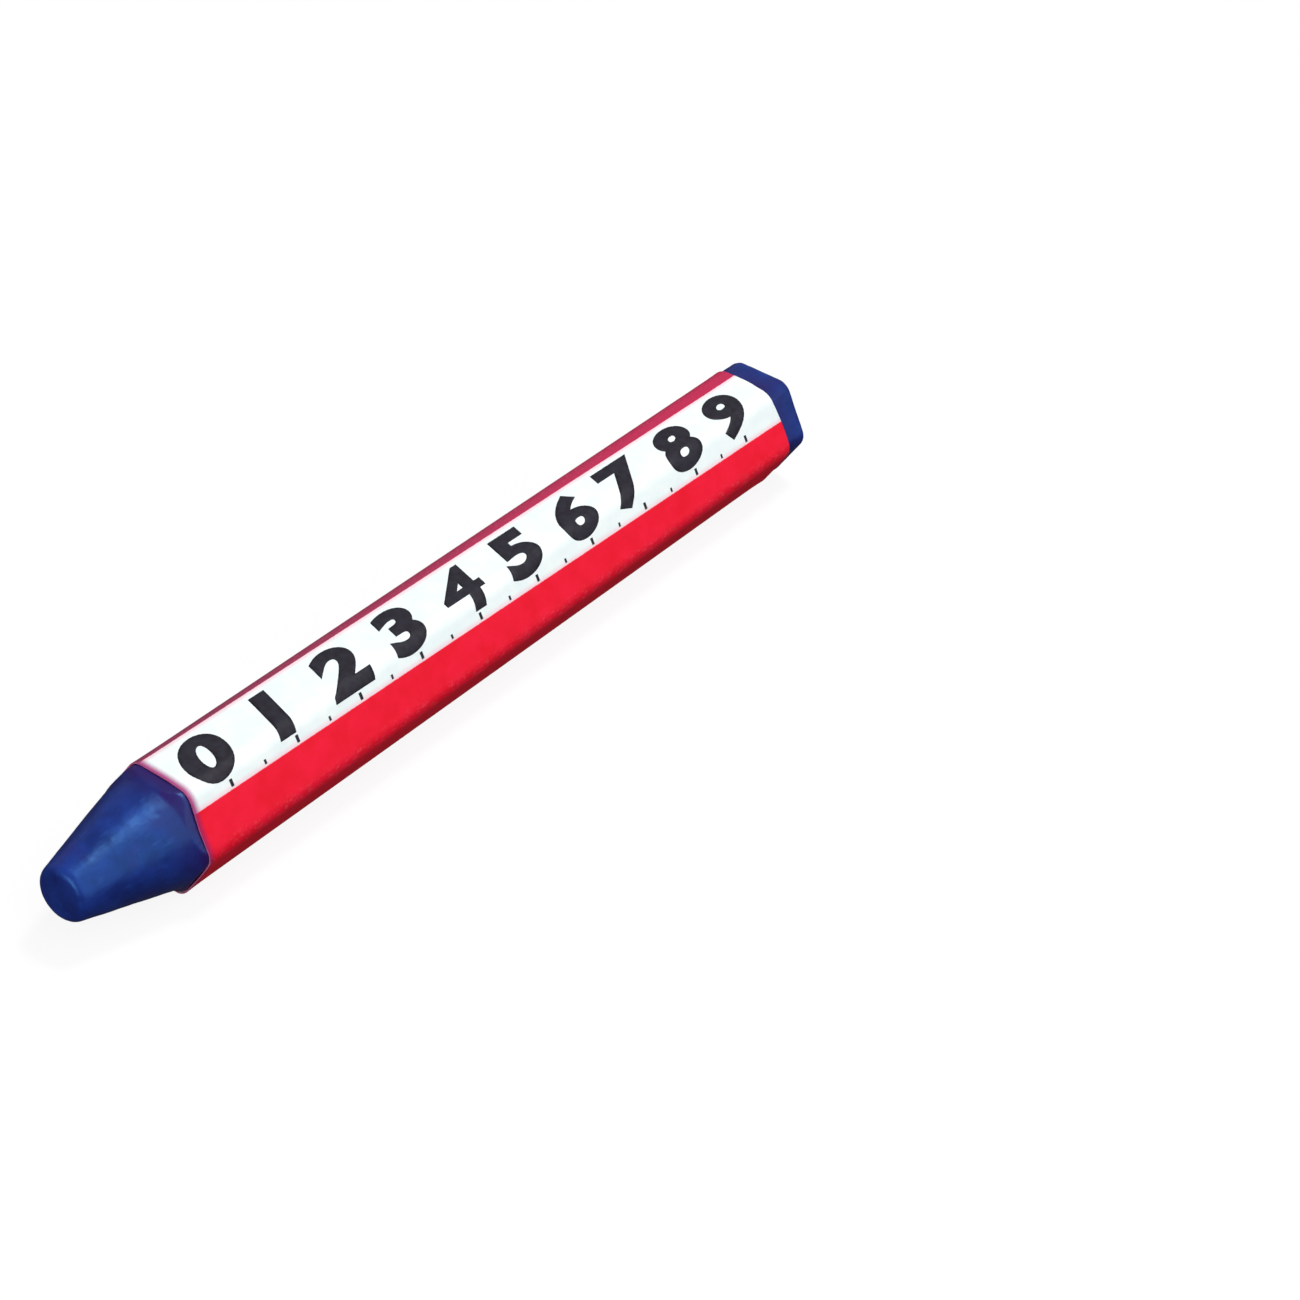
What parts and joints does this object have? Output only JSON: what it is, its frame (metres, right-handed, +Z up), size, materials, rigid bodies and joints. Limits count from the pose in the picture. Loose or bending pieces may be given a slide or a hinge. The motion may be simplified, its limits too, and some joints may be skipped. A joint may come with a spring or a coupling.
{
  "type": "marking crayon",
  "caption": "Hexagonal wax marking crayon with a turned, flat-ended point, in a printed paper wrapper with a glued, lapped seam.",
  "frame": {"origin": "under the middle of the crayon, on the surface that it lies on", "axes": "+X along the crayon from the point to the butt, +Z up, +Y away from the side that shows the wrapper's pale panel"},
  "size_m": [0.1206, 0.0144, 0.013],
  "materials": {
    "wax": "satin",
    "wrapper_paper": "satin",
    "paste": "matte"
  },
  "bodies": {
    "root": {"wax_stick": "wax", "paper_wrapper": "wrapper_paper", "seam_paste": "paste"}
  },
  "joints": []
}
